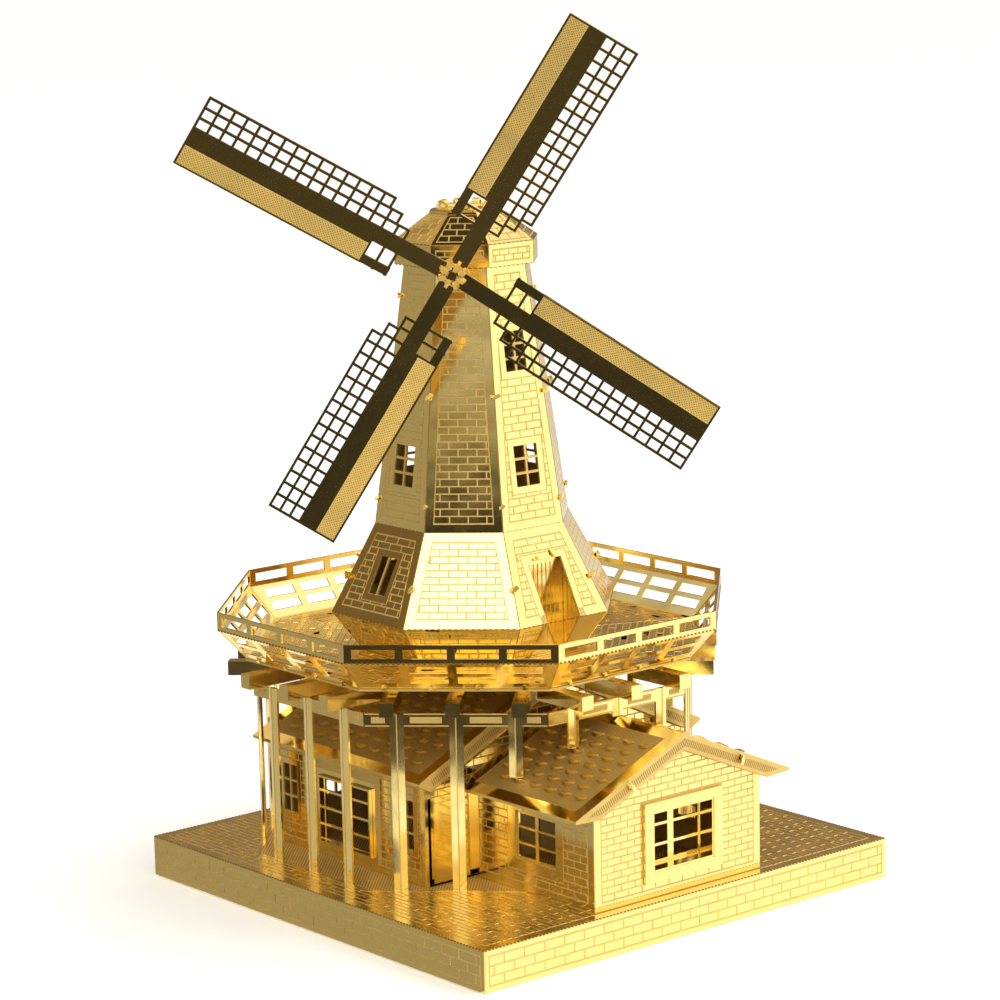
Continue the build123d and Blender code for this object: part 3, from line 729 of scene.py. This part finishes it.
rail_marks = Relief()
for side, angle in SIDES.items():
    node = "railing_" + side
    band = Panel(node, outward(angle))
    low = sorted(band.outline, key=lambda p: p[1])[:2]
    low.sort()
    stitches(slits, band.point(*low[0]), band.point(*low[1]), outward(angle),
             pitch=0.7, length=0.3, width=0.24, height=0.05)
    slant = Panel(node, outward(angle, -52))
    border(rail_marks, slant, slant.outline, 0.35, height=0.03)
    for k in (-1.5, -0.5, 0.5, 1.5):
        place = Vector((axis_x, axis_y, deck_z + 0.45)) + outward(angle) * (deck_reach + 0.1)
        place += UP.cross(outward(angle)) * (k * 6.4)
        tab(tabs, place, UP.cross(outward(angle)), outward(angle, -40), 1.3, 0.5)
rail_marks.build("rail_marks", "mill", polished)

# ---------------------------------------------------------------- ring of pillars

ring_lines = Relief()
for side, angle in SIDES.items():
    node = "ring_" + side
    out = outward(angle)
    low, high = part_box(node)
    ring_top = high.z / MM
    face = FreePanel(
        Vector((axis_x, axis_y, ring_top)) + out * (RING_RADIUS * math.cos(HALF_SIDE)),
        UP.cross(out), out, [],
    )
    half = RING_RADIUS * math.sin(HALF_SIDE) - 0.15
    for v0, v1 in ((-0.2, -0.04), (-1.86, -1.7)):
        for u0, u1 in ((-half, -9.1), (-7.1, -1.0), (1.0, 7.1), (9.1, half)):
            ring_lines.plate(face, rectangle(u0, v0, u1, v1), 0.03, taper=0.0)
    for u0, u1 in ((-11.6, -9.7), (-6.3, -1.9), (1.9, 6.3), (9.7, 11.6)):
        ring_lines.plate(face, rectangle(u0, -1.38, u1, -0.52), 0.03, taper=0.0)
        count = int((u1 - u0) / 0.36)
        for k in range(count):
            u = u0 + (k + 0.5) * (u1 - u0) / count
            slant_u = (face.u + face.v * 1.2).normalized()
            slant_v = (face.v - face.u).normalized()
            ring_lines.block(face.point(u, -0.95, 0.05), slant_u, face.n, slant_v, (0.24, 0.04, 0.035))
    for offset in PILLARS:
        foot = base_z
        x = axis_x + out.x * 30.5 + face.u.x * offset
        y = axis_y + out.y * 30.5 + face.u.y * offset
        wing_low, wing_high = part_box("wing_roof")
        if wing_low.x / MM < x < wing_high.x / MM and y < wing_high.y / MM:
            foot = wing_high.z / MM - WING_SLOPE * abs(x - axis_x)
        span = ring_top - foot
        ridge_middle = face.point(offset, -span / 2, PILLAR_RIDGE)
        ring_lines.block(ridge_middle, UP, face.u, out, (span / 2 - 0.05, 0.08, 0.03))
ring_lines.build("ring_lines", "mill", etched)

# ---------------------------------------------------------------- base

WALK = 1.42
base_rim = Relief()
paving = Relief()
for angle in (0, 90, 180, 270):
    skirt = Panel("base_tray", outward(angle))
    border(base_rim, skirt, skirt.outline, 0.72)
    bricks(base_rim, skirt, inset(skirt.outline, 0.86), [], WALK, 3.5)
    high = sorted(skirt.outline, key=lambda p: -p[1])[:2]
    high.sort()
    stitches(slits, skirt.point(*high[0]), skirt.point(*high[1]), outward(angle, 45),
             pitch=0.62, length=0.3, width=0.2, height=0.05)
base_rim.build("bricks_base_skirts", "mill", polished)

ground = Panel("base_tray", (0, 0, 1))
border(paving, ground, ground.outline, 1.5)
wing_hole = ground.hole_for("wing_walls")
centre_u, centre_v = ground.flat(Vector((axis_x, axis_y, base_z)))
yard_reach = 33.6
yard = []
for k in range(8):
    a = math.radians(22.5 + 45 * k)
    yard.append((centre_u + yard_reach * math.cos(a), centre_v + yard_reach * math.sin(a)))
yard = clip(yard, inset(ground.outline, 2.2))
yard_lines = Relief()
hatch(yard_lines, ground, inset(yard, 0.6), pitch=0.56, width=0.2, height=0.015)
yard_lines.build("yard_lines", "mill", engraved_and_shade)
border(paving, ground, yard, 0.55, height=0.05)


class Sieve(Relief):
    """Keeps only the parts of each plate outside the yard."""

    def plate(self, panel, polygon, height=0.05, lift=0.0, taper=0.02, tilt=0.0):
        for part in outside_pieces(polygon, yard_edge):
            if abs(polygon_area(part)) > 0.08:
                Relief.plate(self, panel, part, height, lift, taper, tilt)


yard_edge = inset(yard, -0.15)
strips = Sieve()
bricks(strips, ground, inset(ground.outline, 1.65), [wing_hole], 0.95, 4.1,
       joint_width=0.2, turn=True, tilt=0.01)
offset = len(paving.points)
paving.points.extend(strips.points)
paving.faces.extend(tuple(i + offset for i in face) for face in strips.faces)
paving.build("paving_base", "mill", satin)

# ---------------------------------------------------------------- houses

for side, direction in (("sw", -1), ("ne", 1)):
    plates = Relief()
    node = "house_walls_" + side
    wall = Panel(node, (direction, 0, 0))
    border(plates, wall, wall.outline, 1.0)
    bay_hole = wall.hole_for("house_bay_" + side)
    holes = wall.holes + [bay_hole]
    for hole in wall.holes:
        surround(plates, wall, hole, 0.85)
    grown = [(h[0] - 0.85, h[1] - 0.85, h[2] + 0.85, h[3] + 0.85) for h in holes]
    bricks(plates, wall, inset(wall.outline, 1.13), grown, BRICK, LONG)
    gable = Panel(node, (0, direction, 0))
    border(plates, gable, gable.outline, 1.0)
    for hole in gable.holes:
        surround(plates, gable, hole, 0.85)
    grown = [(h[0] - 0.85, h[1] - 0.85, h[2] + 0.85, h[3] + 0.85) for h in gable.holes]
    if direction < 0:
        wing_rect = gable.hole_for("wing_walls")
        grown.append((wing_rect[0], wing_rect[1], wing_rect[2], wing_rect[3] - 6.6))
    bricks(plates, gable, inset(gable.outline, 1.13), grown, BRICK, LONG)
    plates.build("bricks_house_" + side, "mill", polished)

for side, direction in (("sw", -1), ("ne", 1)):
    plates = Relief()
    wall = Panel("wing_walls", (direction, 0, 0), 0)
    border(plates, wall, wall.outline, 1.15)
    window = wall.hole_for("wing_window_" + side)
    surround(plates, wall, (window[0] + 0.7, window[1] + 0.7, window[2] - 0.7, window[3] - 0.7), 1.5)
    grown = (window[0] - 0.8, window[1] - 0.8, window[2] + 0.8, window[3] + 0.8)
    bricks(plates, wall, inset(wall.outline, 1.28), [grown], BRICK, LONG)
    plates.build("bricks_wing_" + side, "mill", polished)

plates = Relief()
front = Panel("wing_walls", (0, -1, 0))
border(plates, front, front.outline, 1.2)
bricks(plates, front, inset(front.outline, 1.33), [front.hole_for("wing_front_frame")], 0.98, 2.5)
plates.build("bricks_wing_front", "mill", polished)

# ---------------------------------------------------------------- roofs


def scallops(relief, panel, outline, across=3.1, down=2.1, radius=0.95, rise=0.5):
    """Staggered half-round tile ends pressed out of the roof sheet."""
    us = [p[0] for p in outline]
    vs = [p[1] for p in outline]
    row = 0
    v = max(vs) - down * 0.7
    while v > min(vs) + radius:
        u = min(us) + across * (0.5 if row % 2 else 1.0)
        while u < max(us) - radius:
            shape, heights = [], []
            for k in range(9):
                a = math.pi + math.pi * k / 8
                shape.append((u + radius * math.cos(a), v + radius * math.sin(a)))
                heights.append(0.04 + rise * (-math.sin(a)))
            if all(
                (bx - ax) * (q[1] - ay) - (by - ay) * (q[0] - ax) > 0
                for (ax, ay), (bx, by) in zip(outline, outline[1:] + outline[:1]) for q in shape
            ):
                relief.wedge(panel, shape, heights)
            u += across
        v -= down
        row += 1


def crescents(relief, panel, outline, across=3.1, down=2.1, inner=0.92, outer=1.2):
    """Painted shade: a dark crescent just below each tile end, where the raised tile end shades the roof
    sheet.
    """
    us = [p[0] for p in outline]
    vs = [p[1] for p in outline]
    row = 0
    v = max(vs) - down * 0.7
    while v > min(vs) + outer:
        u = min(us) + across * (0.5 if row % 2 else 1.0)
        while u < max(us) - outer:
            for k in range(1, 7):
                a, b = math.pi + math.pi * k / 8, math.pi + math.pi * (k + 1) / 8
                piece = [
                    (u + inner * math.cos(a), v + inner * math.sin(a)),
                    (u + outer * math.cos(a), v + outer * math.sin(a)),
                    (u + outer * math.cos(b), v + outer * math.sin(b)),
                    (u + inner * math.cos(b), v + inner * math.sin(b)),
                ]
                relief.plate(panel, clip(piece, outline), 0.08, taper=0.0)
            u += across
        v -= down
        row += 1


def roof_side(node, direction, slope, rim, name):
    tiles = Relief()
    # the hatch lines and the painted shade under the tile ends share this mesh
    plain = Relief()
    lines = Relief()
    panel = Panel(node, (direction * math.sin(slope), 0, math.cos(slope)))
    border(plain, panel, panel.outline, rim)
    field = inset(panel.outline, rim + 0.1)
    hatch(lines, panel, field, width=0.2, height=0.03)
    scallops(tiles, panel, inset(panel.outline, rim + 0.5))
    # painted shade: dark crescents below the raised tile ends
    crescents(lines, panel, inset(panel.outline, rim + 0.5))
    tiles.build("tiles_" + name, "mill", satin)
    lines.build("tile_lines_and_shade_" + name, "mill", engraved_and_shade)
    plain.build("roof_edge_" + name, "mill", polished)


for side, direction in (("sw", -1), ("ne", 1)):
    roof_side("house_roof", direction, math.atan(HOUSE_SLOPE), 1.9, "house_" + side)
    roof_side("wing_roof", direction, math.atan(WING_SLOPE), 2.0, "wing_" + side)


def rake_hatch(node, y_direction, slope, wall_half, name):
    """Fine hatching on the boards along a gable edge, between plain margins."""
    relief = Relief()
    low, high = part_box(node)
    y = (low.y if y_direction < 0 else high.y) / MM
    half = (high.x - low.x) / 2 / MM
    ridge = high.z / MM
    start = Vector((axis_x, y, ridge))
    face = FreePanel(start, Vector((-y_direction, 0, 0)), Vector((0, y_direction, 0)), [])
    for side in (-1, 1):
        corner = wall_half - 0.2
        point = half - 2.0
        outline = [
            (0, -0.7), (side * point, -0.7 - slope * point),
            (side * corner, -1.8 - slope * corner), (0, -1.8),
        ]
        if polygon_area(outline) < 0:
            outline = outline[::-1]
        hatch(relief, face, outline, pitch=0.4, width=0.16, height=0.03, slope=0.5 * side)
    relief.build("hatch_" + name, "mill", engraved_and_shade)


rake_hatch("wing_roof", -1, WING_SLOPE, WING_HALF, "wing_front")
rake_hatch("house_roof", -1, HOUSE_SLOPE, HOUSE_HALF, "house_front")
rake_hatch("house_roof", 1, HOUSE_SLOPE, HOUSE_HALF, "house_back")

wing_low, wing_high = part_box("wing_roof")
for side in (-1, 1):
    tab_x = 10.2
    place = Vector((axis_x + side * tab_x, wing_low.y / MM, wing_high.z / MM - WING_SLOPE * tab_x - 1.0))
    tab(tabs, place, Vector((1, 0, -0.43 * side)).normalized(), Vector((0, -1, 0)), 1.4, 1.1)

# ---------------------------------------------------------------- sails

level = Vector((math.cos(math.radians(315)), math.sin(math.radians(315)), 0))
across_up = shaft.cross(level)
for number in range(4):
    turn = math.radians(FIRST_SAIL - SAIL_STEP * number)
    flat_along = level * math.cos(turn) + across_up * math.sin(turn)
    lean = math.radians(SAIL_LEAN)
    along = flat_along * math.cos(lean) + shaft * math.sin(lean)
    face = shaft * math.cos(lean) - flat_along * math.sin(lean)
    origin = hub + shaft * 0.32
    weave = Relief()
    specks = Relief()
    edge = Relief()
    for lift, n, u in ((0.3, face, along), (0.0, -face, along)):
        flip = 1 if n is face else -1
        panel = FreePanel(origin + face * lift, u, n, [])
        v0, v1 = sorted((flip * 1.62, flip * 4.3))
        outline = rectangle(12.1, v0, 39.9, v1)
        weave.plate(panel, outline, 0.015, taper=0.0)
        dots(specks, panel, outline, pitch=0.44, radius=0.12, height=0.05)
        v0, v1 = sorted((flip * 4.34, flip * 4.5))
        edge.plate(panel, rectangle(11.9, v0, 40.1, v1), 0.05, taper=0.0)
    weave.build("weave_sail_%d" % (number + 1), "sails", halftone)
    specks.build("specks_sail_%d" % (number + 1), "sails", polished)
    edge.build("edge_sail_%d" % (number + 1), "sails", polished)

hub_tabs = Relief()
for k in range(4):
    turn = math.radians(13 + 90 * k)
    aside = level * math.cos(turn) + across_up * math.sin(turn)
    tab(hub_tabs, hub + shaft * 0.75 + aside * 0.85, aside, shaft, 0.7, 0.7)
hub_tabs.build("hub_tabs", "sails", polished)

tabs.build("tabs_mill", "mill", polished)
# the slit blocks carry the dark finish of painted shade
slits.build("slit_shades_mill", "mill", slit_shade)

# ---------------------------------------------------------------- studio


def stage_material(name, colour, strength=0.0):
    made = bpy.data.materials.new(name)
    made.use_nodes = True
    shader = made.node_tree.nodes["Principled BSDF"]
    shader.inputs["Base Color"].default_value = (*colour, 1)
    shader.inputs["Roughness"].default_value = 0.9
    if strength:
        shader.inputs["Emission Color"].default_value = (*colour, 1)
        shader.inputs["Emission Strength"].default_value = strength
    return made


def disc(name, radius, z, material, sides=96):
    mesh = bpy.data.meshes.new(name)
    rim = []
    for k in range(sides):
        a = 2 * math.pi * k / sides
        rim.append((radius * math.cos(a), radius * math.sin(a), z))
    mesh.from_pydata(rim, [], [tuple(range(sides))])
    mesh.materials.append(material)
    made = bpy.data.objects.new(name, mesh)
    bpy.context.scene.collection.objects.link(made)
    return made


pale = stage_material("floor_pale", (0.97, 0.965, 0.95), 0.10)
floor = disc("floor", 12.0, -0.0002, pale)
floor.visible_glossy = False
front = base_low.y / MM + 1.0
lit_front = [
    (-85, front), (-85, front - 30), (-30, front - 60), (0, front - 75),
    (0, -260), (260, -260), (260, front),
]
lit_side = [(-105, front), (-105, front + 24), (-50, front + 24), (-50, front)]
for name, outline in (("floor_near", lit_front), ("floor_side", lit_side)):
    lit_mesh = bpy.data.meshes.new(name)
    lit_mesh.from_pydata([(x * MM, y * MM, -0.00005) for x, y in outline], [], [tuple(range(len(outline)))])
    lit_mesh.materials.append(pale)
    lit_floor = bpy.data.objects.new(name, lit_mesh)
    bpy.context.scene.collection.objects.link(lit_floor)
flag = stage_material("flag_dark", (0.02, 0.017, 0.012))


def card(name, azimuth, distance, width, low, high, material):
    """An upright card that only shows in the metal."""
    a = math.radians(azimuth)
    middle = Vector((axis_x * MM + distance * math.cos(a), axis_y * MM + distance * math.sin(a), 0))
    across = Vector((-math.sin(a), math.cos(a), 0)) * width / 2
    mesh = bpy.data.meshes.new(name)
    corners = [
        middle - across + UP * low, middle + across + UP * low,
        middle + across + UP * high, middle - across + UP * high,
    ]
    mesh.from_pydata([tuple(c) for c in corners], [], [(0, 1, 2, 3)])
    mesh.materials.append(material)
    made = bpy.data.objects.new(name, mesh)
    bpy.context.scene.collection.objects.link(made)
    made.visible_camera = False
    made.visible_diffuse = False
    made.visible_shadow = False
    made.visible_transmission = False


soft_flag = stage_material("flag_soft", (0.30, 0.26, 0.17))
card("flag_front", 221, 0.30, 0.24, -0.02, 0.086, flag)
card("flag_behind", 221, 0.33, 0.27, -0.02, 0.106, soft_flag)

world = bpy.data.worlds.new("studio")
bpy.context.scene.world = world
world.use_nodes = True
nodes = world.node_tree.nodes
links = world.node_tree.links
background = nodes["Background"]
where = nodes.new("ShaderNodeTexCoord")


def patch(azimuth, elevation, inner, outer):
    """1 inside a round patch of sky, falling to 0 at its outer edge, both in degrees."""
    a, e = math.radians(azimuth), math.radians(elevation)
    dot = nodes.new("ShaderNodeVectorMath")
    dot.operation = "DOT_PRODUCT"
    dot.inputs[1].default_value = (math.cos(a) * math.cos(e), math.sin(a) * math.cos(e), math.sin(e))
    links.new(where.outputs["Generated"], dot.inputs[0])
    ramp = nodes.new("ShaderNodeMapRange")
    ramp.interpolation_type = "SMOOTHSTEP"
    ramp.inputs["From Min"].default_value = math.cos(math.radians(outer))
    ramp.inputs["From Max"].default_value = math.cos(math.radians(inner))
    links.new(dot.outputs["Value"], ramp.inputs["Value"])
    return ramp.outputs["Result"]


def layer(below, factor, colour):
    mix = nodes.new("ShaderNodeMix")
    mix.data_type = "RGBA"
    links.new(factor, mix.inputs["Factor"])
    if isinstance(below, tuple):
        mix.inputs["A"].default_value = (*below, 1)
    else:
        links.new(below, mix.inputs["A"])
    mix.inputs["B"].default_value = (*colour, 1)
    return mix.outputs["Result"]


sky = layer((1.10, 1.09, 1.06), patch(0, 60, 30, 70), (1.02, 1.0, 0.95))
sky = layer(sky, patch(312, 0, 30, 75), (1.38, 1.36, 1.30))
sky = layer(sky, patch(220, 42, 12, 30), (2.7, 2.7, 2.6))
sky = layer(sky, patch(128, -4, 22, 50), (0.37, 0.34, 0.28))
sky = layer(sky, patch(126, 24, 8, 18), (0.17, 0.12, 0.07))
sky = layer(sky, patch(92, 44, 10, 22), (0.11, 0.07, 0.04))
sky = layer(sky, patch(68, 37, 9, 17), (0.86, 0.66, 0.40))
sky = layer(sky, patch(60, 87, 12, 25), (0.04, 0.03, 0.02))
sky = layer(sky, patch(50, 12, 9, 30), (0.22, 0.17, 0.13))
sky = layer(sky, patch(218, -22, 24, 36), (0.06, 0.05, 0.035))
sky = layer(sky, patch(253, -13, 9, 17), (0.06, 0.05, 0.035))
sky = layer(sky, patch(187, -13, 9, 17), (0.08, 0.06, 0.04))
links.new(sky, background.inputs["Color"])
background.inputs["Strength"].default_value = 1.0

soft = bpy.data.lights.new("softbox", "AREA")
soft.shape = "SQUARE"
soft.size = 0.5
soft.energy = 2.2
softbox = bpy.data.objects.new("softbox", soft)
softbox.location = (0.35, -0.25, 0.75)
softbox.rotation_euler = (Vector((0, 0, 0.05)) - softbox.location).to_track_quat("-Z", "Y").to_euler()
bpy.context.scene.collection.objects.link(softbox)
softbox.visible_glossy = False

# ---------------------------------------------------------------- camera

lens = bpy.data.cameras.new("camera")
lens.sensor_width = 36.0
lens.lens = 125.1
lens.shift_x = -0.0118
lens.shift_y = 0.1230
lens.clip_start = 0.01
lens.clip_end = 50
camera = bpy.data.objects.new("camera", lens)
# where the camera stands from the middle of the base, in metres, and its three directions
stand = Vector((-0.311508, -0.369797, 0.146427))
right = Vector((0.7616532, -0.6476582, -0.0205746))
above = Vector((0.1576892, 0.1544602, 0.9753339))
back = Vector((-0.6285050, -0.7461106, 0.2197738))
base_middle = (base_low + base_high) / 2
camera.matrix_world = Matrix((
    (right.x, above.x, back.x, base_middle.x + stand.x),
    (right.y, above.y, back.y, base_middle.y + stand.y),
    (right.z, above.z, back.z, stand.z),
    (0, 0, 0, 1),
))
bpy.context.scene.collection.objects.link(camera)
bpy.context.scene.camera = camera
bpy.context.scene.view_settings.view_transform = "Standard"
